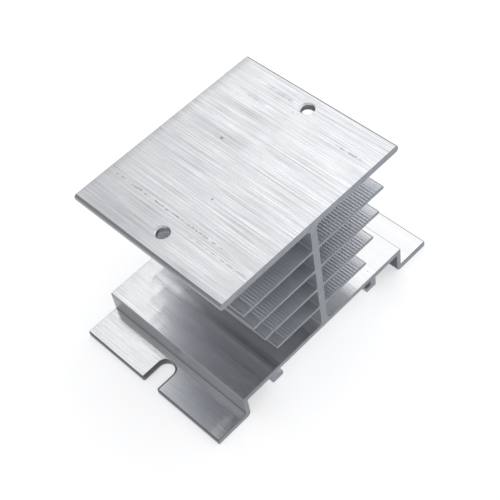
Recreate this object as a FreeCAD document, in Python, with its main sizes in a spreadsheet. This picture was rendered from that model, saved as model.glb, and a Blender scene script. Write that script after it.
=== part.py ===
import FreeCAD, Part
import os
import Sketcher

# Heat sink for one solid state relay: an aluminium extrusion, cut to length.
# The section stands in the XZ plane and runs along Y. The origin is the middle of the footprint.
# The right half of the section is drawn and mirrored. The two tapped holes come last, because in the
# real piece they sit a little off its middle.

# Driving sizes in millimetres, each with the reason for its value
SIZES = (
    ("cut_length", 50.0),            # length of the cut piece, along the extrusion
    ("overall_height", 50.0),        # from the bench to the relay's seat
    ("plate_width", 60.0),           # plate that the relay is screwed to
    ("plate_thickness", 2.1),
    ("plate_nose_radius", 0.9),      # rounding of the plate's long edges
    ("screw_spacing", 49.3),         # between the relay's two screws
    ("screw_shift", 0.75),           # the pair sits this far to the right of the web
    ("screw_countersink", 4.1),      # diameter of the small countersink at each tapped hole
    ("web_thickness", 2.2),          # upright wall that carries plate and fins
    ("web_plate_radius", 1.4),       # fillet between web and plate
    ("web_foot_radius", 1.0),        # fillet between web and platform
    ("fin_thickness", 1.0),
    ("fin_root_radius", 0.5),        # fillet where a fin leaves the web
    ("lowest_gap", 7.25),            # air between the platform and the lowest fin
    ("top_gap", 7.75),               # air between the top fin and the plate
    ("reach_lowest", 16.6),          # from the middle of the web to each fin's tip
    ("reach_second", 19.8),
    ("reach_third", 22.4),
    ("reach_top", 24.4),
    ("groove_pitch", 0.87),          # fine grooves along both faces of each fin
    ("groove_width", 0.5),
    ("groove_depth", 0.2),
    ("smooth_tip", 2.9),             # from a fin's tip to its outermost groove
    ("smooth_root", 1.15),           # least distance from the web to the innermost groove
    ("platform_width", 60.0),        # raised middle of the base
    ("platform_height", 8.8),        # from the bench to the platform's upper face
    ("sheet_thickness", 1.7),        # platform outside the hooks
    ("rail_relief", 0.25),           # the platform is this much thinner over the rail
    ("wall_thickness", 1.4),         # upright step between platform and flange
    ("wall_foot_radius", 1.3),       # rounding under the step
    ("flange_width", 10.0),          # beyond the platform, on each side
    ("flange_thickness", 1.9),
    ("edge_radius", 0.3),            # small rounding of the flange's and the hooks' edges
    ("slot_width", 4.8),             # open slot for the fixing screw
    ("slot_land", 1.95),             # metal between the slot's end and the step
    ("slot_shift", 0.4),             # the slots sit this far behind the middle of the length
    ("slot_mouth_radius", 0.7),
    ("rail_width", 35.0),            # mounting rail that slides between the hooks
    ("rail_clearance", 0.4),         # on each side of the rail
    ("hook_thickness", 1.9),         # upright leg of each hook
    ("hook_foot_reach", 1.8),        # how far the hook's foot goes under the rail
    ("hook_foot_thickness", 1.7),
    ("hook_slot", 1.85),             # height between foot and platform, for the rail's edge
)

NODE = "heat_sink"

# Share of the fin's thickness that rounds each edge of its tip
TIP_ROUNDING = 0.45

# An edge is at a place of the section if it is nearer than this, in millimetres
NEAR = 1e-4

# Metric thread of the relay's screws
THREAD_TYPE = "ISOMetricProfile"
THREAD_SIZE = "M4x0.7"

# Levels and half widths, as expressions on the sheet
HALF_WEB = "dims.web_thickness / 2"
PLATE_UNDERSIDE = "dims.overall_height - dims.plate_thickness"
HALF_PLATE = "dims.plate_width / 2"
PLATFORM_TOP = "dims.platform_height"
HALF_PLATFORM = "dims.platform_width / 2"
WALL_INSIDE = HALF_PLATFORM + " - dims.wall_thickness"
SHEET_UNDERSIDE = PLATFORM_TOP + " - dims.sheet_thickness"
RAIL_SEAT = SHEET_UNDERSIDE + " + dims.rail_relief"
HALF_BASE = HALF_PLATFORM + " + dims.flange_width"
FLANGE_TOP = "dims.flange_thickness"
HOOK_INSIDE = "dims.rail_width / 2 + dims.rail_clearance"
HOOK_OUTSIDE = HOOK_INSIDE + " + dims.hook_thickness"
HOOK_TIP = HOOK_INSIDE + " - dims.hook_foot_reach"
FOOT_TOP = RAIL_SEAT + " - dims.hook_slot"
FOOT_UNDERSIDE = FOOT_TOP + " - dims.hook_foot_thickness"

# Fins from the lowest to the top one, spread evenly between the lowest gap and the top gap
FIN_REACHES = ("dims.reach_lowest", "dims.reach_second", "dims.reach_third", "dims.reach_top")
LOWEST_FIN_UNDERSIDE = PLATFORM_TOP + " + dims.lowest_gap"
TOP_FIN_UNDERSIDE = PLATE_UNDERSIDE + " - dims.top_gap - dims.fin_thickness"
FIN_STEPS = len(FIN_REACHES) - 1

doc = FreeCAD.newDocument("relay_heat_sink")
sheet = doc.addObject("Spreadsheet::Sheet", "dims")
for row, (alias, size) in enumerate(SIZES, start=1):
    sheet.set("A%d" % row, alias)
    sheet.set("B%d" % row, str(size))
    sheet.setAlias("B%d" % row, alias)
doc.recompute()

body = doc.addObject("PartDesign::Body", NODE)
body.Label = NODE
body.Placement = FreeCAD.Placement()


def value(expression):
    """The number that an expression on the sheet has now."""
    return float(sheet.evalExpression(expression))


def fin_underside(index):
    """Level of a fin's lower face, counted from the lowest fin."""
    rise = "((%s) - (%s))" % (TOP_FIN_UNDERSIDE, LOWEST_FIN_UNDERSIDE)
    return "%s + %s * %d / %d" % (LOWEST_FIN_UNDERSIDE, rise, index, FIN_STEPS)


def fin_top(index):
    """Level of a fin's upper face."""
    return fin_underside(index) + " + dims.fin_thickness"


def origin_plane(role):
    """One of the body's own origin planes, such as XZ_Plane, or its axes."""
    for feature in body.Origin.OriginFeatures:
        if feature.Role == role:
            return feature
    raise ValueError("no origin feature " + role)


def new_sketch(name, role):
    """An empty sketch on one of the body's origin planes."""
    sketch = body.newObject("Sketcher::SketchObject", name)
    sketch.AttachmentSupport = [(origin_plane(role), "")]
    sketch.MapMode = "FlatFace"
    return sketch


def bind(sketch, constraint, expression):
    """Adds a dimension to the sketch and binds it to the sheet."""
    number = sketch.addConstraint(constraint)
    name = "%s_%d" % (constraint.Type, number)
    sketch.renameConstraint(number, name)
    sketch.setExpression("Constraints." + name, expression)


def hold(sketch, kind, geometry, point, expression):
    """Dimensions a point from the origin along one axis."""
    if expression == "0":
        axis = -2 if kind == "DistanceX" else -1
        sketch.addConstraint(Sketcher.Constraint("PointOnObject", geometry, point, axis))
        return
    bind(sketch, Sketcher.Constraint(kind, -1, 1, geometry, point, value(expression)), expression)


def outline(sketch, corners):
    """A closed outline of straight edges, square where two corners share an expression."""
    first = sketch.GeometryCount
    places = [FreeCAD.Vector(value(x), value(y), 0) for x, y in corners]
    for start, end in zip(places, places[1:] + places[:1]):
        sketch.addGeometry(Part.LineSegment(start, end), False)
    count = len(corners)
    for i, (x, y) in enumerate(corners):
        following = (i + 1) % count
        sketch.addConstraint(Sketcher.Constraint("Coincident", first + i, 2, first + following, 1))
        if corners[following][0] == x:
            sketch.addConstraint(Sketcher.Constraint("Vertical", first + i))
        if corners[following][1] == y:
            sketch.addConstraint(Sketcher.Constraint("Horizontal", first + i))
        if corners[i - 1][0] != x:
            hold(sketch, "DistanceX", first + i, 1, x)
        if corners[i - 1][1] != y:
            hold(sketch, "DistanceY", first + i, 1, y)


def box_corners(x_low, x_high, y_low, y_high):
    return [(x_low, y_low), (x_high, y_low), (x_high, y_high), (x_low, y_high)]


def extrude(name, kind, sketch):
    """A pad or pocket of the section over the whole cut length, half to each side."""
    feature = body.newObject(kind, name)
    feature.Profile = sketch
    feature.SideType = "Symmetric"
    feature.setExpression("Length", "dims.cut_length")
    return feature


def long_edges(places):
    """Names of the edges that run along the extrusion at the given places of the section."""
    names = []
    for x, z in places:
        wanted = FreeCAD.Vector(value(x), 0, value(z))
        for number, edge in enumerate(body.Tip.Shape.Edges, start=1):
            middle = edge.CenterOfMass
            run = edge.BoundBox
            is_long = run.YLength > value("dims.cut_length") / 2 and max(run.XLength, run.ZLength) < NEAR
            if is_long and (FreeCAD.Vector(middle.x, 0, middle.z) - wanted).Length < NEAR:
                names.append("Edge%d" % number)
    if len(names) != len(places):
        raise ValueError("found %d of %d edges" % (len(names), len(places)))
    return names


def round_edges(name, radius, names):
    """A fillet on named edges of the body's present tip."""
    base = body.Tip
    feature = body.newObject("PartDesign::Fillet", name)
    feature.Base = (base, names)
    feature.setExpression("Radius", radius)
    doc.recompute()


def base_section():
    """Flange, step, platform and rail hook: one folded line with its inside and its outside."""
    sketch = new_sketch("base_section", "XZ_Plane")
    outline(sketch, [
        ("0", RAIL_SEAT),
        (HOOK_INSIDE, RAIL_SEAT),
        (HOOK_INSIDE, FOOT_TOP),
        (HOOK_TIP, FOOT_TOP),
        (HOOK_TIP, FOOT_UNDERSIDE),
        (HOOK_OUTSIDE, FOOT_UNDERSIDE),
        (HOOK_OUTSIDE, SHEET_UNDERSIDE),
        (WALL_INSIDE, SHEET_UNDERSIDE),
        (WALL_INSIDE, "0"),
        (HALF_BASE, "0"),
        (HALF_BASE, FLANGE_TOP),
        (HALF_PLATFORM, FLANGE_TOP),
        (HALF_PLATFORM, PLATFORM_TOP),
        ("0", PLATFORM_TOP),
    ])
    extrude("base", "PartDesign::Pad", sketch)


def web_and_plate():
    """The upright web and the plate on it."""
    sketch = new_sketch("web_section", "XZ_Plane")
    outline(sketch, [
        ("0", PLATFORM_TOP),
        (HALF_WEB, PLATFORM_TOP),
        (HALF_WEB, PLATE_UNDERSIDE),
        (HALF_PLATE, PLATE_UNDERSIDE),
        (HALF_PLATE, "dims.overall_height"),
        ("0", "dims.overall_height"),
    ])
    extrude("web_and_plate", "PartDesign::Pad", sketch)


def fins():
    """Plain fins, thin blades whose reach grows from the lowest to the top one."""
    sketch = new_sketch("fin_section", "XZ_Plane")
    for index, reach in enumerate(FIN_REACHES):
        outline(sketch, box_corners("0", reach, fin_underside(index), fin_top(index)))
    extrude("fins", "PartDesign::Pad", sketch)


def roundings():
    """Fillets of the die: every long edge of the section, by size."""
    round_edges("plate_noses", "dims.plate_nose_radius", long_edges([
        (HALF_PLATE, "dims.overall_height"),
        (HALF_PLATE, PLATE_UNDERSIDE),
    ]))
    round_edges("web_under_plate", "dims.web_plate_radius", long_edges([(HALF_WEB, PLATE_UNDERSIDE)]))
    round_edges("web_foot", "dims.web_foot_radius", long_edges([(HALF_WEB, PLATFORM_TOP)]))
    levels = [level(i) for i in range(len(FIN_REACHES)) for level in (fin_underside, fin_top)]
    round_edges("fin_roots", "dims.fin_root_radius", long_edges([(HALF_WEB, level) for level in levels]))
    tips = [(reach, level) for reach, level in zip([r for r in FIN_REACHES for _ in range(2)], levels)]
    round_edges("fin_tips", "dims.fin_thickness * %g" % TIP_ROUNDING, long_edges(tips))
    round_edges("step_foot", "dims.wall_foot_radius", long_edges([(WALL_INSIDE, "0")]))
    round_edges("small_edges", "dims.edge_radius", long_edges([
        (HALF_BASE, "0"),
        (HALF_BASE, FLANGE_TOP),
        (HALF_PLATFORM, FLANGE_TOP),
        (HALF_PLATFORM, PLATFORM_TOP),
        (WALL_INSIDE, SHEET_UNDERSIDE),
        (HOOK_OUTSIDE, SHEET_UNDERSIDE),
        (HOOK_OUTSIDE, FOOT_UNDERSIDE),
        (HOOK_TIP, FOOT_UNDERSIDE),
        (HOOK_TIP, FOOT_TOP),
        (HOOK_INSIDE, FOOT_TOP),
    ]))


def fixing_slot():
    """Open slot in the flange, with a round end and rounded mouth corners."""
    sketch = new_sketch("slot_section", "XY_Plane")
    centre_x = HALF_PLATFORM + " + dims.slot_land + dims.slot_width / 2"
    mouth_x = HALF_BASE + " + dims.slot_width"
    centre = FreeCAD.Vector(value(centre_x), value("dims.slot_shift"), 0)
    side = FreeCAD.Vector(0, value("dims.slot_width / 2"), 0)
    reach = FreeCAD.Vector(value(mouth_x) - centre.x, 0, 0)
    round_end = Part.Arc(centre + side, centre - FreeCAD.Vector(side.y, 0, 0), centre - side)
    sketch.addGeometry(round_end, False)
    sketch.addGeometry(Part.LineSegment(centre - side, centre - side + reach), False)
    sketch.addGeometry(Part.LineSegment(centre - side + reach, centre + side + reach), False)
    sketch.addGeometry(Part.LineSegment(centre + side + reach, centre + side), False)
    sketch.addConstraint(Sketcher.Constraint("Tangent", 0, 2, 1, 1))
    sketch.addConstraint(Sketcher.Constraint("Coincident", 1, 2, 2, 1))
    sketch.addConstraint(Sketcher.Constraint("Coincident", 2, 2, 3, 1))
    sketch.addConstraint(Sketcher.Constraint("Tangent", 3, 2, 0, 1))
    sketch.addConstraint(Sketcher.Constraint("Horizontal", 1))
    sketch.addConstraint(Sketcher.Constraint("Vertical", 2))
    hold(sketch, "DistanceX", 0, 3, centre_x)
    hold(sketch, "DistanceY", 0, 3, "dims.slot_shift")
    hold(sketch, "DistanceX", 3, 1, mouth_x)
    hold(sketch, "DistanceY", 3, 1, "dims.slot_shift + dims.slot_width / 2")
    pocket = body.newObject("PartDesign::Pocket", "fixing_slot")
    pocket.Profile = sketch
    pocket.Reversed = True
    pocket.setExpression("Length", PLATFORM_TOP)
    doc.recompute()

    mouth = []
    for number, edge in enumerate(body.Tip.Shape.Edges, start=1):
        middle = edge.CenterOfMass
        at_mouth = abs(middle.x - value(HALF_BASE)) < NEAR and abs(abs(middle.y - centre.y) - side.y) < NEAR
        if at_mouth and edge.BoundBox.ZLength > value("dims.edge_radius"):
            mouth.append("Edge%d" % number)
    round_edges("slot_mouth", "dims.slot_mouth_radius", mouth)


def fin_grooves(index, reach):
    """Fine V grooves in both faces of one fin, patterned from the smooth tip towards the web."""
    outermost = reach + " - dims.smooth_tip"
    left = outermost + " - dims.groove_width / 2"
    right = outermost + " + dims.groove_width / 2"
    sketch = new_sketch("groove_section_%d" % index, "XZ_Plane")
    top = fin_top(index)
    underside = fin_underside(index)
    outline(sketch, [(left, top), (outermost, top + " - dims.groove_depth"), (right, top)])
    outline(sketch, [(left, underside), (right, underside), (outermost, underside + " + dims.groove_depth")])
    groove = extrude("groove_%d" % index, "PartDesign::Pocket", sketch)
    doc.recompute()

    grooved = "%s - (%s) - dims.smooth_root" % (outermost, HALF_WEB)
    pattern = body.newObject("PartDesign::LinearPattern", "grooves_%d" % index)
    pattern.Originals = [groove]
    pattern.Direction = (origin_plane("X_Axis"), [""])
    pattern.Reversed = True
    pattern.Mode = "Spacing"
    pattern.setExpression("Offset", "dims.groove_pitch")
    pattern.setExpression("Occurrences", "floor((%s) / dims.groove_pitch) + 1" % grooved)
    body.Tip = pattern
    doc.recompute()


def other_half():
    """The left half, a mirror image of all that was made so far."""
    mirrored = body.newObject("PartDesign::Mirrored", "whole_section")
    mirrored.TransformMode = "Whole shape"
    mirrored.MirrorPlane = (origin_plane("YZ_Plane"), [""])
    body.Tip = mirrored
    doc.recompute()


def tapped_holes():
    """The two tapped holes for the relay's screws, each with a small countersink."""
    sketch = new_sketch("screw_places", "XY_Plane")
    sketch.setExpression("AttachmentOffset.Base.z", "dims.overall_height")
    radius = value("dims.screw_countersink / 2")
    for side in (1, -1):
        from_middle = "dims.screw_spacing / 2 %s dims.screw_shift" % ("+" if side > 0 else "-")
        centre = FreeCAD.Vector(side * value(from_middle), 0, 0)
        number = sketch.addGeometry(Part.Circle(centre, FreeCAD.Vector(0, 0, 1), radius), False)
        sketch.addConstraint(Sketcher.Constraint("PointOnObject", number, 3, -1))
        ends = (-1, 1, number, 3) if side > 0 else (number, 3, -1, 1)
        bind(sketch, Sketcher.Constraint("DistanceX", *ends, value(from_middle)), from_middle)
        bind(sketch, Sketcher.Constraint("Diameter", number, 2 * radius), "dims.screw_countersink")
    hole = body.newObject("PartDesign::Hole", "tapped_holes")
    hole.Profile = sketch
    doc.recompute()
    hole.ThreadType = THREAD_TYPE
    hole.ThreadSize = THREAD_SIZE
    hole.Threaded = True
    hole.DepthType = "Dimension"
    hole.DrillPoint = "Flat"
    hole.setExpression("Depth", "dims.plate_thickness + dims.top_gap / 4")
    hole.HoleCutType = "Countersink"
    hole.HoleCutCustomValues = True
    hole.setExpression("HoleCutDiameter", "dims.screw_countersink")
    doc.recompute()


def check_model():
    """Stops if any object failed or the solid isn't one whole solid."""
    for obj in doc.Objects:
        if "Invalid" in obj.State or "Error" in obj.State:
            raise RuntimeError("%s failed: %s" % (obj.Name, obj.State))
    shape = body.Shape
    if shape.isNull() or not shape.isValid() or len(shape.Solids) != 1:
        raise RuntimeError("the heat sink isn't one valid solid")


base_section()
web_and_plate()
fins()
doc.recompute()
roundings()
fixing_slot()
for fin_index, fin_reach in enumerate(FIN_REACHES):
    fin_grooves(fin_index, fin_reach)
other_half()
tapped_holes()
check_model()

os.makedirs("parts", exist_ok=True)
body.Shape.exportStep(os.path.join("parts", NODE + ".step"))
print(NODE, "volume %.1f mm3, %d faces" % (body.Shape.Volume, len(body.Shape.Faces)))
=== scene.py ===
import bmesh
import bpy
import math
from mathutils import Matrix, Vector


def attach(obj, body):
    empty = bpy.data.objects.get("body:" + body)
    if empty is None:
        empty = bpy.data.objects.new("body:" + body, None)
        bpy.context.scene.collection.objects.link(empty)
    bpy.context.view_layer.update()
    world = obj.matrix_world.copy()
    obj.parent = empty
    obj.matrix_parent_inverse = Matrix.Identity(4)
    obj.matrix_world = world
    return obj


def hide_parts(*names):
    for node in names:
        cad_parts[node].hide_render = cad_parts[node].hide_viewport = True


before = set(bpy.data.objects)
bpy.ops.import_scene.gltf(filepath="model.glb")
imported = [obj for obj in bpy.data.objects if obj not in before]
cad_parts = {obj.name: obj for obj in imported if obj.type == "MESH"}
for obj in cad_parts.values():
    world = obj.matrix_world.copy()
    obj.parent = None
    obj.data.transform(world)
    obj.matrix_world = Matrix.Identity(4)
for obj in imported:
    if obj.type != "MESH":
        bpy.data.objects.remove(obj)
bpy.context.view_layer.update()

# Relay heat sink: one aluminium extrusion, sawn to length, with two tapped holes and two milled
# slots. Lengths are in metres. X runs across the flanges, Y along the extrusion, Z up.
MM = 0.001

# Sizes that the dressing needs, as in the solid
SEAT = 50.0 * MM
PLATE_UNDERSIDE = 47.9 * MM
HALF_CUT = 25.0 * MM
PLATFORM_TOP = 8.8 * MM
PLATFORM_UNDERSIDE = 7.35 * MM
WALL_INSIDE = 28.6 * MM
HOOK_OUTSIDE = 19.9 * MM
FLANGE_TOP = 1.9 * MM
STEP_FOOT = 32.0 * MM
SCREWS = (-23.9 * MM, 25.4 * MM)
COUNTERSINK = 0.4 * MM
HOLE_REACH = 2.3 * MM
EDGE_RADIUS = 0.3 * MM

# Each fin's top and its reach from the web's middle, the same on both sides
FINS = (
    (40.15 * MM, 24.4 * MM),
    (32.45 * MM, 22.4 * MM),
    (24.75 * MM, 19.8 * MM),
    (17.05 * MM, 16.6 * MM),
)
FIN = 1.0 * MM
SMOOTH_BAND = 2.7 * MM
ROOT_REACH = 1.7 * MM

# M4 coarse thread, cut into the tap drill's wall. Each point of its profile is a radius and the
# share of the pitch at which it lies
PITCH = 0.7 * MM
THREAD_ROOT = 2.0 * MM
THREAD_CREST = 1.6 * MM
THREAD_PROFILE = (
    (THREAD_CREST, 0.0),
    (THREAD_CREST, 0.22),
    (THREAD_ROOT, 0.56),
    (THREAD_ROOT, 0.66),
)
THREAD_STEPS = 64
SPARE_TURNS = 3

# Broken edge left by the saw and by the deburring tool
SAWN_EDGE = 0.14 * MM
EDGE_SEGMENTS = 2

# Points closer than this are one point, and faces closer in angle are one face
MERGE = 0.001 * MM
FLAT_ANGLE = math.radians(0.4)
SMOOTH_ANGLE = math.radians(32)
FLAT_FACE_WEIGHT = 100

# Least upright part of a face's normal: on a level face, on a nearly level one and in a countersink
LEVEL = 0.99
NEARLY_LEVEL = 0.8
SUNK = 0.4

# Least and greatest upright part of the normal on the rounded root of a fin
ROOT_TURN = (0.2, 0.97)

# Least lengthwise part of the normal: on a cut end before and after its edge is broken, and on
# the broken edge
SQUARE_CUT = 0.999
CUT_END = 0.9
BROKEN_EDGE = 0.2

# Grey tones of the metal, lighter where the belt or the die polished it. The dark tones of upright
# faces, rounded corners, flange edges and the platform's inside are painted shade, and that of the
# sawn ends is partly duller metal and partly painted shade
SEAT_TONE = (0.86, 0.866, 0.88)
DRAWN_TONE = (0.88, 0.88, 0.885)
UPRIGHT_SHADE_TONE = (0.30, 0.31, 0.325)
INNER_TONE = (0.735, 0.755, 0.785)
SAWN_AND_SHADE_TONE = (0.30, 0.325, 0.35)
THREAD_TONE = (0.42, 0.425, 0.44)
TIP_TONE = (0.87, 0.88, 0.90)
ROUNDED_SHADE_TONE = (0.44, 0.45, 0.47)
INSIDE_SHADE_TONE = (0.14, 0.147, 0.165)
EDGE_SHADE_TONE = (0.18, 0.185, 0.195)

# A mark takes this share of the tone and adds this roughness
MARK_DARKENS = 0.6
MARK_DULLS = 0.25

# Scored lines on the seat, in millimetres: X, middle in Y, half length, half width. Then how
# broken the line is and how strong
SCORED_LINES = (
    (-18.6, 4, 22, 0.24, 1.0, 0.8),
    (-20.8, -15, 11, 0.18, 1.0, 0.7),
    (5.4, 9.9, 0.5, 0.45, 0.0, 0.8),
    (20.7, -17.5, 4.5, 0.5, 0.7, 0.5),
    (19.8, 12.5, 3.5, 0.45, 0.7, 0.4),
    (25.1, 9.0, 5.0, 0.8, 0.5, 0.35),
)

# The seat's back and left rims are darker and rougher. Each has an axis, and where along it that
# starts and is full, in millimetres. Then how strong the mark is there, and how strong the painted
# shade is in the back left corner, which is also a little rougher
DULL_RIMS = (
    ("Y", 22.5, 24.9),
    ("X", -27.5, -29.7),
)
RIM_MARK = 0.3
CORNER_SHADE = 0.17

# The saw's blade
BLADE_ACROSS = -120 * MM
BLADE_HEIGHT = 160 * MM
BLADE_RADIUS = 200 * MM

# Floor and light
FLOOR_TONE = (0.75, 0.75, 0.75)
FLOOR_HALF = 4
FLOOR_LIFT = 0.53
WORLD_TONE = (0.64, 0.645, 0.66)
GLOSSY_BOUNCES = 8

# Camera, fitted to the corners of the plate and of the flanges
AIM = Vector((0, 0, 25 * MM))
AZIMUTH = math.radians(-36.732)
ELEVATION = math.radians(52.493)
ROLL = math.radians(11.224)
SHIFT_RIGHT = -0.571 * MM
SHIFT_DOWN = -4.013 * MM
DISTANCE = 288.375 * MM
LENS = 81.476
SENSOR = 36
NEAREST = 0.01


def mesh_object(name, bm):
    """An object at the origin that holds the given mesh."""
    mesh = bpy.data.meshes.new(name)
    bm.to_mesh(mesh)
    bm.free()
    obj = bpy.data.objects.new(name, mesh)
    bpy.context.scene.collection.objects.link(obj)
    return obj


def applied(obj):
    """Applies the object's modifiers and drops them."""
    evaluated = obj.evaluated_get(bpy.context.evaluated_depsgraph_get())
    mesh = bpy.data.meshes.new_from_object(evaluated)
    obj.modifiers.clear()
    obj.data = mesh


# Geometry

def sawn(face):
    """Whether a face of the plain mesh is part of a cut end."""
    on_the_cut = abs(abs(face.calc_center_median().y) - HALF_CUT) < MERGE
    return abs(face.normal.y) > SQUARE_CUT and on_the_cut


def plain_extrusion(solid):
    """The extrusion's own mesh, merged into whole faces, with its sawn edges broken."""
    bm = bmesh.new()
    bm.from_mesh(solid.data)
    bmesh.ops.remove_doubles(bm, verts=bm.verts, dist=MERGE)
    bmesh.ops.dissolve_limit(bm, angle_limit=FLAT_ANGLE, verts=bm.verts, edges=bm.edges)
    bm.normal_update()
    rims = [edge for edge in bm.edges if sum(sawn(face) for face in edge.link_faces) == 1]
    bmesh.ops.bevel(bm, geom=rims, affect="EDGES", offset=SAWN_EDGE, offset_type="OFFSET",
                    segments=EDGE_SEGMENTS, profile=0.5, material=-1, clamp_overlap=True)
    return mesh_object("extrusion", bm)


def tap(x):
    """The screw shape that a tap leaves, a little longer than the plate is thick."""
    turns = math.ceil((SEAT - PLATE_UNDERSIDE) / PITCH) + SPARE_TURNS
    foot = PLATE_UNDERSIDE - 2 * PITCH
    bm = bmesh.new()
    profile = []
    for turn in range(turns):
        for radius, share in THREAD_PROFILE:
            profile.append(bm.verts.new((x + radius, 0, foot + (turn + share) * PITCH)))
    edges = [bm.edges.new(pair) for pair in zip(profile, profile[1:])]
    bmesh.ops.spin(bm, geom=profile + edges, cent=(x, 0, 0), axis=(0, 0, 1), angle=2 * math.pi,
                   steps=THREAD_STEPS, dvec=(0, 0, PITCH / THREAD_STEPS), use_merge=False)
    bmesh.ops.remove_doubles(bm, verts=bm.verts, dist=MERGE)
    for height, up in ((SEAT + PITCH / 2, 1), (PLATE_UNDERSIDE - PITCH / 2, -1)):
        whole = bm.verts[:] + bm.edges[:] + bm.faces[:]
        cut = bmesh.ops.bisect_plane(bm, geom=whole, dist=MERGE / 10, plane_co=(0, 0, height),
                                     plane_no=(0, 0, up), clear_outer=True)
        rim = [piece for piece in cut["geom_cut"] if isinstance(piece, bmesh.types.BMEdge)]
        bmesh.ops.contextual_create(bm, geom=rim)
    bmesh.ops.recalc_face_normals(bm, faces=bm.faces)
    return mesh_object("tap", bm)


def cut_threads(extrusion):
    """Cuts the thread of both tapped holes."""
    for x in SCREWS:
        cutter = tap(x)
        cut = extrusion.modifiers.new("thread", "BOOLEAN")
        cut.operation = "DIFFERENCE"
        cut.solver = "EXACT"
        cut.object = cutter
        applied(extrusion)
        bpy.data.objects.remove(cutter)


def shade(obj):
    """Rounded edges are shaded smooth and flat faces stay flat."""
    obj.data.shade_smooth()
    obj.data.set_sharp_from_angle(angle=SMOOTH_ANGLE)
    weigh = obj.modifiers.new("flat_faces", "WEIGHTED_NORMAL")
    weigh.keep_sharp = True
    weigh.weight = FLAT_FACE_WEIGHT
    applied(obj)


# Nodes

class Nodes:
    """Adds and links the nodes of one tree."""

    def __init__(self, tree):
        self.tree = tree

    def feed(self, socket, source):
        """Links a socket to another one, or sets it to a value."""
        if isinstance(source, bpy.types.NodeSocket):
            self.tree.links.new(source, socket)
        else:
            socket.default_value = source

    def add(self, kind, inputs=(), **settings):
        """A node with its settings and with its inputs fed."""
        node = self.tree.nodes.new("ShaderNode" + kind)
        for key, setting in settings.items():
            setattr(node, key, setting)
        for key, source in dict(inputs).items():
            self.feed(node.inputs[key], source)
        return node

    def math(self, operation, first, second=0.0, clamp=False):
        """The result of one sum."""
        sum_node = self.add("Math", {0: first, 1: second}, operation=operation, use_clamp=clamp)
        return sum_node.outputs[0]

    def spread(self, value, low, high, to_low=0.0, to_high=1.0):
        """Stretches a value's range and stops it at both ends."""
        ends = {"From Min": low, "From Max": high, "To Min": to_low, "To Max": to_high}
        return self.add("MapRange", {"Value": value, **ends}).outputs["Result"]

    def noise(self, place, size, detail=2.0, roughness=0.55):
        """Noise whose spots have the given size along each axis, in millimetres."""
        scale = [1 / (length * MM) for length in size]
        mapped = self.add("Mapping", {"Vector": place, "Scale": scale}).outputs["Vector"]
        inputs = {"Vector": mapped, "Scale": 1.0, "Detail": detail, "Roughness": roughness}
        return self.add("TexNoise", inputs).outputs["Fac"]

    def place(self):
        """Where a point lies on the part."""
        return self.add("TexCoord").outputs["Object"]

    def axes(self, place):
        """The three coordinates of a place."""
        return self.add("SeparateXYZ", {0: place}).outputs

    def toned(self, colour, factor):
        """A colour made lighter or darker by a factor."""
        return self.add("VectorMath", {0: colour, "Scale": factor}, operation="SCALE").outputs[0]

    def placed(self, tree, **inputs):
        """The outputs of a node group that is placed with its own values."""
        node = self.add("Group", node_tree=tree)
        for key, source in inputs.items():
            self.feed(node.inputs[key.replace("_", " ")], source)
        return node.outputs


def group(name, inputs, outputs):
    """An empty node group, its given values and the sockets for its results."""
    tree = bpy.data.node_groups.new(name, "ShaderNodeTree")
    for socket, default in inputs.items():
        made = tree.interface.new_socket(name=socket, in_out="INPUT", socket_type="NodeSocketFloat")
        made.default_value = default
    for socket in outputs:
        tree.interface.new_socket(name=socket, in_out="OUTPUT", socket_type="NodeSocketFloat")
    given = tree.nodes.new("NodeGroupInput").outputs
    result = tree.nodes.new("NodeGroupOutput").inputs
    return Nodes(tree), given, result


def die_lines_group():
    """Lines that the die and the belt leave along the extrusion, with faint clouds of oxide."""
    inputs = {"Length": 1.0, "Fine": 1.0, "Bands": 1.0, "Clouds": 1.0}
    nodes, given, result = group("die_lines", inputs, ["Tone", "Height"])
    place = nodes.place()
    axes = nodes.axes(place)
    along = nodes.math("DIVIDE", axes["Y"], given["Length"])
    drawn = nodes.add("CombineXYZ", {"X": axes["X"], "Y": along, "Z": axes["Z"]}).outputs[0]
    hair = nodes.noise(drawn, (0.2, 14, 0.2), detail=3)
    fine = nodes.noise(drawn, (0.42, 22, 0.42), detail=4)
    bands = nodes.noise(drawn, (2.0, 80, 2.0), detail=2)
    clouds = nodes.noise(place, (8, 13, 8), detail=5, roughness=0.7)
    total = nodes.math("MULTIPLY", nodes.spread(hair, 0.4, 0.75, 0.45, -1.15), given["Fine"])
    for value, key, reach in ((fine, "Fine", 0.7), (bands, "Bands", 0.7), (clouds, "Clouds", 0.6)):
        part = nodes.math("MULTIPLY", nodes.spread(value, 0.2, 0.8, -reach, reach), given[key])
        total = nodes.math("ADD", total, part)
    nodes.feed(result["Tone"], total)
    nodes.feed(result["Height"], nodes.math("ADD", hair, fine))
    return nodes.tree


def handling_marks_group():
    """Specks and short scuffs from handling, few and small."""
    nodes, given, result = group("handling_marks", {"Amount": 1.0}, ["Mark"])
    cell = (1 / (3.2 * MM), 1 / (4.5 * MM), 1 / (3.2 * MM))
    mapped = nodes.add("Mapping", {"Vector": nodes.place(), "Scale": cell})
    spots = {"Vector": mapped.outputs["Vector"], "Scale": 1.0}
    cells = nodes.add("TexVoronoi", spots, feature="F1")
    colour = nodes.add("SeparateColor", {"Color": cells.outputs["Color"]})
    size = nodes.spread(colour.outputs["Red"], 0.7, 1.0, 0.0, 0.085)
    size = nodes.math("MULTIPLY", size, given["Amount"])
    speck = nodes.math("SUBTRACT", size, cells.outputs["Distance"])
    nodes.feed(result["Mark"], nodes.spread(speck, -0.012, 0.03))
    return nodes.tree


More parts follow.
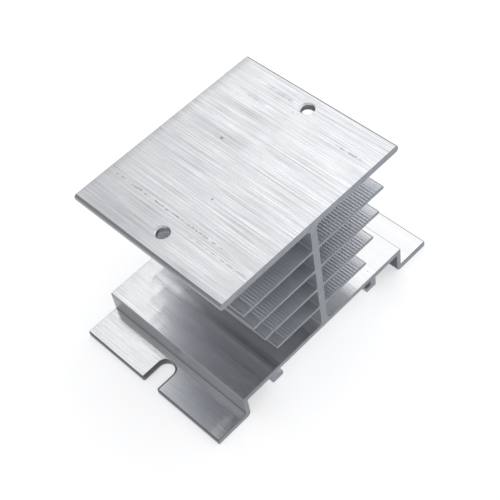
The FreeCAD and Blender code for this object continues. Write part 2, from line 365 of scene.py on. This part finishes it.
def scored_line_group():
    """One broken dark line along the extrusion, such as a pick-up on the die draws."""
    sizes = {"Across": 0.0, "Middle": 0.0, "Half Length": 0.01, "Half Width": 0.0002}
    nodes, given, result = group("scored_line", {**sizes, "Broken": 0.5}, ["Mark"])
    place = nodes.place()
    axes = nodes.axes(place)
    wander = nodes.noise(place, (40, 2.5, 40), detail=3, roughness=0.7)
    x = nodes.math("ADD", axes["X"], nodes.spread(wander, 0.2, 0.8, -0.3 * MM, 0.3 * MM))
    off = nodes.math("ABSOLUTE", nodes.math("SUBTRACT", x, given["Across"]))
    off = nodes.math("DIVIDE", off, given["Half Width"])
    along = nodes.math("ABSOLUTE", nodes.math("SUBTRACT", axes["Y"], given["Middle"]))
    along = nodes.math("DIVIDE", along, given["Half Length"])
    beads = nodes.spread(nodes.noise(place, (8, 0.9, 8), detail=2), 0.4, 0.56)
    beads = nodes.math("MAXIMUM", beads, nodes.math("SUBTRACT", 1.0, given["Broken"]))
    line = nodes.math("MULTIPLY", nodes.spread(off, 1.0, 0.3), nodes.spread(along, 1.0, 0.75))
    nodes.feed(result["Mark"], nodes.math("MULTIPLY", line, beads))
    return nodes.tree


def saw_marks_group():
    """Arcs that the saw leaves on a cut end, round the middle of its blade."""
    inputs = {"Blade Across": BLADE_ACROSS, "Blade Height": BLADE_HEIGHT}
    nodes, given, result = group("saw_marks", inputs, ["Tone", "Height"])
    axes = nodes.axes(nodes.place())
    x = nodes.math("SUBTRACT", axes["X"], given["Blade Across"])
    z = nodes.math("SUBTRACT", axes["Z"], given["Blade Height"])
    squares = nodes.math("ADD", nodes.math("MULTIPLY", x, x), nodes.math("MULTIPLY", z, z))
    radius = nodes.math("SQRT", squares)
    round_the_blade = nodes.math("MULTIPLY", nodes.math("ARCTAN2", z, x), BLADE_RADIUS)
    polar = nodes.add("CombineXYZ", {"X": radius, "Y": round_the_blade}).outputs[0]
    arcs = nodes.noise(polar, (0.35, 9, 1), detail=2)
    broad = nodes.noise(polar, (1.6, 20, 1), detail=2)
    arc_tone = nodes.spread(arcs, 0.2, 0.8, -0.5, 0.5)
    broad_tone = nodes.spread(broad, 0.2, 0.8, -0.5, 0.5)
    nodes.feed(result["Tone"], nodes.math("ADD", arc_tone, broad_tone))
    nodes.feed(result["Height"], arcs)
    return nodes.tree


DIE_LINES = die_lines_group()
HANDLING_MARKS = handling_marks_group()
SCORED_LINE = scored_line_group()
SAW_MARKS = saw_marks_group()


# Finishes

def metal(name):
    """A bare metal material, its nodes and its shader."""
    material = bpy.data.materials.new(name)
    material.use_nodes = True
    shader = material.node_tree.nodes["Principled BSDF"]
    shader.inputs["Metallic"].default_value = 1
    return material, Nodes(material.node_tree), shader


def finish(nodes, shader, colour, roughness, tone, depth, polish, height, bump, marks=None,
           relief=0.02 * MM):
    """Joins tone, roughness and height to the shader. Light lines are smoother by the polish,
    and marks are darker and duller."""
    factor = nodes.math("ADD", 1.0, nodes.math("MULTIPLY", tone, depth))
    rough = nodes.math("ADD", roughness, nodes.math("MULTIPLY", tone, -polish))
    if marks is not None:
        kept = nodes.math("SUBTRACT", 1.0, nodes.math("MULTIPLY", marks, MARK_DARKENS))
        factor = nodes.math("MULTIPLY", factor, kept)
        rough = nodes.math("ADD", rough, nodes.math("MULTIPLY", marks, MARK_DULLS), clamp=True)
    nodes.feed(shader.inputs["Base Color"], nodes.toned(colour, factor))
    nodes.feed(shader.inputs["Roughness"], rough)
    ridged = nodes.add("Bump", {"Height": height, "Strength": bump, "Distance": relief})
    nodes.feed(shader.inputs["Normal"], ridged.outputs["Normal"])


def linished_seat():
    """The relay's seat, ground along its length on a belt."""
    material, nodes, shader = metal("linished_seat")
    lines = nodes.placed(DIE_LINES, Length=1.5, Fine=1.4, Bands=0.35, Clouds=1.0)
    marks = nodes.placed(HANDLING_MARKS, Amount=1.0)["Mark"]
    for across, middle, half_length, half_width, broken, strength in SCORED_LINES:
        line = nodes.placed(SCORED_LINE, Across=across * MM, Middle=middle * MM,
                            Half_Length=half_length * MM, Half_Width=half_width * MM, Broken=broken)
        marks = nodes.math("MAXIMUM", marks, nodes.math("MULTIPLY", line["Mark"], strength))
    axes = nodes.axes(nodes.place())
    for axis, start, end in DULL_RIMS:
        rim = nodes.spread(axes[axis], start * MM, end * MM, 0.0, RIM_MARK)
        marks = nodes.math("MAXIMUM", marks, rim)
    # Painted shade: the seat darkens towards its back left corner, which is also a little rougher
    to_the_left = nodes.spread(axes["X"], -17 * MM, -28 * MM, 0.0, CORNER_SHADE)
    to_the_back = nodes.spread(axes["Y"], -9 * MM, 6 * MM)
    painted_shade_corner = nodes.math("MULTIPLY", to_the_left, to_the_back)
    marks = nodes.math("MAXIMUM", marks, painted_shade_corner)
    finish(nodes, shader, SEAT_TONE, roughness=0.30, tone=lines["Tone"], depth=0.16, polish=0.08,
           height=lines["Height"], bump=0.4, marks=marks)
    return material


def drawn_face():
    """Level faces as the die leaves them: bright, with faint lines."""
    material, nodes, shader = metal("drawn_face")
    lines = nodes.placed(DIE_LINES, Length=4.0, Fine=0.6, Bands=1.0, Clouds=1.0)
    marks = nodes.placed(HANDLING_MARKS, Amount=0.8)["Mark"]
    finish(nodes, shader, DRAWN_TONE, roughness=0.08, tone=lines["Tone"], depth=0.05, polish=0.02,
           height=lines["Height"], bump=0.22, marks=marks, relief=0.08 * MM)
    return material


def inner_face():
    """Web, serrated fins and undersides: matt, never touched after the die, with painted shade
    darkening them by the web.
    """
    material, nodes, shader = metal("inner_face")
    lines = nodes.placed(DIE_LINES, Length=4.0, Fine=0.6, Bands=0.8, Clouds=1.0)
    from_web = nodes.math("ABSOLUTE", nodes.axes(nodes.place())["X"])
    # Painted shade, darkest where the fins meet the web
    painted_shade_by_web = nodes.spread(from_web, 1.5 * MM, 6 * MM, -5.0, 0.0)
    tone = nodes.math("ADD", lines["Tone"], painted_shade_by_web)
    finish(nodes, shader, INNER_TONE, roughness=0.5, tone=tone, depth=0.05, polish=0.01,
           height=lines["Height"], bump=0.3)
    return material


def fin_tip():
    """Smooth bands along the fins' tips, a little brighter than the grooves."""
    material, nodes, shader = metal("fin_tip")
    lines = nodes.placed(DIE_LINES, Length=4.0, Fine=0.6, Bands=0.8, Clouds=1.0)
    finish(nodes, shader, TIP_TONE, roughness=0.38, tone=lines["Tone"], depth=0.05, polish=0.04,
           height=lines["Height"], bump=0.3)
    return material


def rounded_corner():
    """Rounded roots of the fins and edges of the platform: between level and upright faces.
    Their darker tone is painted shade.
    """
    material, nodes, shader = metal("rounded_corner")
    lines = nodes.placed(DIE_LINES, Length=4.0, Fine=0.6, Bands=0.8, Clouds=1.0)
    finish(nodes, shader, ROUNDED_SHADE_TONE, roughness=0.5, tone=lines["Tone"], depth=0.05, polish=0.01,
           height=lines["Height"], bump=0.3)
    return material


def upright_face():
    """Upright faces and rounded edges, which the belt doesn't reach. Their dark tone is painted
    shade.
    """
    material, nodes, shader = metal("upright_face")
    lines = nodes.placed(DIE_LINES, Length=4.0, Fine=0.8, Bands=1.0, Clouds=1.0)
    finish(nodes, shader, UPRIGHT_SHADE_TONE, roughness=0.33, tone=lines["Tone"], depth=0.09, polish=0.05,
           height=lines["Height"], bump=0.3)
    return material


def flange_edge():
    """Edges of the flanges and walls of the slots: dull, and dark with painted shade."""
    material, nodes, shader = metal("flange_edge")
    lines = nodes.placed(DIE_LINES, Length=4.0, Fine=0.8, Bands=1.0, Clouds=1.0)
    finish(nodes, shader, EDGE_SHADE_TONE, roughness=0.45, tone=lines["Tone"], depth=0.12, polish=0.05,
           height=lines["Height"], bump=0.3)
    return material


def platform_inside():
    """Walls and ceiling of the channels beside the hooks: dull, and dark with painted shade."""
    material, nodes, shader = metal("platform_inside")
    lines = nodes.placed(DIE_LINES, Length=4.0, Fine=0.8, Bands=1.0, Clouds=1.0)
    finish(nodes, shader, INSIDE_SHADE_TONE, roughness=0.45, tone=lines["Tone"], depth=0.12, polish=0.05,
           height=lines["Height"], bump=0.3)
    return material


def sawn_end():
    """Cut ends, dull, with the saw's arcs. Their dark tone is partly the duller sawn metal
    and partly painted shade.
    """
    material, nodes, shader = metal("sawn_end")
    saw = nodes.placed(SAW_MARKS)
    finish(nodes, shader, SAWN_AND_SHADE_TONE, roughness=0.48, tone=saw["Tone"], depth=0.16, polish=0.08,
           height=saw["Height"], bump=0.4)
    return material


def tapped_wall():
    """The tapped holes' threads."""
    material, nodes, shader = metal("tapped_wall")
    grain = nodes.noise(nodes.place(), (0.3, 0.3, 0.06), detail=2)
    tone = nodes.spread(grain, 0.2, 0.8, -1.0, 1.0)
    finish(nodes, shader, THREAD_TONE, roughness=0.3, tone=tone, depth=0.1, polish=0.05,
           height=grain, bump=0.2)
    return material


def fin_side_finish(normal, centre):
    """The finish of a face between the platform and the plate, or of an underside."""
    for top, reach in FINS:
        if abs(centre.z - top + FIN / 2) < FIN / 2 - MERGE and abs(centre.x) > reach - FIN / 2:
            return upright_face
        if abs(centre.x) > reach - SMOOTH_BAND:
            if normal.z > LEVEL and abs(centre.z - top) < MERGE:
                return fin_tip
            if normal.z < -LEVEL and abs(centre.z - top + FIN) < MERGE:
                return drawn_face
    least, greatest = ROOT_TURN
    if least < normal.z < greatest and abs(centre.x) < ROOT_REACH:
        return rounded_corner
    return inner_face


def face_finish(polygon):
    """Which of the finishes a face has."""
    normal, centre = polygon.normal, polygon.center
    off_middle = abs(centre.x)
    for x in SCREWS:
        by_the_hole = math.hypot(centre.x - x, centre.y) < HOLE_REACH
        if by_the_hole and centre.z > PLATE_UNDERSIDE + MERGE and normal.z < LEVEL:
            sunk = normal.z > SUNK and centre.z > SEAT - COUNTERSINK
            return linished_seat if sunk else tapped_wall
    if abs(normal.y) > CUT_END and abs(centre.y) > HALF_CUT - MERGE:
        return sawn_end
    if centre.z < FLANGE_TOP and off_middle > STEP_FOOT:
        return flange_edge
    if centre.z < PLATFORM_UNDERSIDE + MERGE and HOOK_OUTSIDE < off_middle < WALL_INSIDE + MERGE:
        return platform_inside
    if abs(normal.y) > BROKEN_EDGE:
        return upright_face
    at_platform_top = PLATFORM_TOP - EDGE_RADIUS < centre.z < PLATFORM_TOP + MERGE
    if at_platform_top and NEARLY_LEVEL < normal.z < LEVEL:
        return rounded_corner
    if normal.z > LEVEL and centre.z > SEAT - MERGE:
        return linished_seat
    if normal.z < -LEVEL or PLATFORM_TOP + MERGE < centre.z < PLATE_UNDERSIDE + MERGE:
        return fin_side_finish(normal, centre)
    return drawn_face if normal.z > LEVEL else upright_face


# The extrusion
FINISHES = (linished_seat, drawn_face, upright_face, sawn_end, tapped_wall, inner_face, flange_edge,
            fin_tip, rounded_corner, platform_inside)

extrusion = plain_extrusion(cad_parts["heat_sink"])
cut_threads(extrusion)
extrusion.data.materials.clear()
for finished in FINISHES:
    extrusion.data.materials.append(finished())
for polygon in extrusion.data.polygons:
    polygon.material_index = FINISHES.index(face_finish(polygon))
shade(extrusion)
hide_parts("heat_sink")
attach(extrusion, "root")


# Floor

def pale_floor():
    """Matt white floor. The camera and the metal see it a little lighter than it is lit."""
    paint = bpy.data.materials.new("floor_paint")
    paint.use_nodes = True
    nodes = Nodes(paint.node_tree)
    shader = paint.node_tree.nodes["Principled BSDF"]
    shader.inputs["Base Color"].default_value = (*FLOOR_TONE, 1)
    shader.inputs["Roughness"].default_value = 0.9
    shader.inputs["Specular IOR Level"].default_value = 0.0
    shader.inputs["Emission Color"].default_value = (1, 1, 1, 1)
    seen = nodes.add("LightPath").outputs
    shown = nodes.math("MAXIMUM", seen["Is Camera Ray"], seen["Is Glossy Ray"])
    shown = nodes.math("MAXIMUM", shown, seen["Is Transmission Ray"])
    nodes.feed(shader.inputs["Emission Strength"], nodes.math("MULTIPLY", shown, FLOOR_LIFT))
    bm = bmesh.new()
    bmesh.ops.create_grid(bm, x_segments=1, y_segments=1, size=FLOOR_HALF)
    floor = mesh_object("floor", bm)
    floor.data.materials.append(paint)
    return floor


pale_floor()

# Camera
back = Vector((math.sin(AZIMUTH) * math.cos(ELEVATION), -math.cos(AZIMUTH) * math.cos(ELEVATION),
               math.sin(ELEVATION)))
level_right = Vector((math.cos(AZIMUTH), math.sin(AZIMUTH), 0))
level_up = back.cross(level_right)
right = math.cos(ROLL) * level_right - math.sin(ROLL) * level_up
up = math.sin(ROLL) * level_right + math.cos(ROLL) * level_up
camera_data = bpy.data.cameras.new("camera")
camera_data.lens = LENS
camera_data.sensor_width = SENSOR
camera_data.clip_start = NEAREST
camera = bpy.data.objects.new("camera", camera_data)
bpy.context.scene.collection.objects.link(camera)
stand = AIM - SHIFT_RIGHT * right + SHIFT_DOWN * up + DISTANCE * back
camera.matrix_world = Matrix.Translation(stand) @ Matrix((right, up, back)).transposed().to_4x4()
bpy.context.scene.camera = camera

# Light
world = bpy.data.worlds.new("studio")
bpy.context.scene.world = world
world.use_nodes = True
sky = world.node_tree.nodes["Background"]
sky.inputs["Color"].default_value = (*WORLD_TONE, 1)
sky.inputs["Strength"].default_value = 1


def softbox(name, place, target, width, depth, radiance):
    """A soft rectangular lamp of a given brightness."""
    lamp = bpy.data.lights.new(name, "AREA")
    lamp.shape = "RECTANGLE"
    lamp.size = width
    lamp.size_y = depth
    lamp.energy = radiance * math.pi * width * depth
    obj = bpy.data.objects.new(name, lamp)
    bpy.context.scene.collection.objects.link(obj)
    turn = (Vector(target) - Vector(place)).to_track_quat("-Z", "Y")
    obj.matrix_world = Matrix.Translation(place) @ turn.to_matrix().to_4x4()


softbox("top_light", place=(0.67, 0.0, 0.40), target=(0.27, 0.02, 0.0), width=1.1, depth=1.1,
        radiance=0.46)
softbox("back_light", place=(0.42, 0.95, 1.5), target=(0.42, 0.95, 0.0), width=0.17, depth=0.25,
        radiance=0.52)

bpy.context.scene.view_settings.view_transform = "Standard"
# Light goes back and forth many times between the fins
bpy.context.scene.cycles.glossy_bounces = GLOSSY_BOUNCES
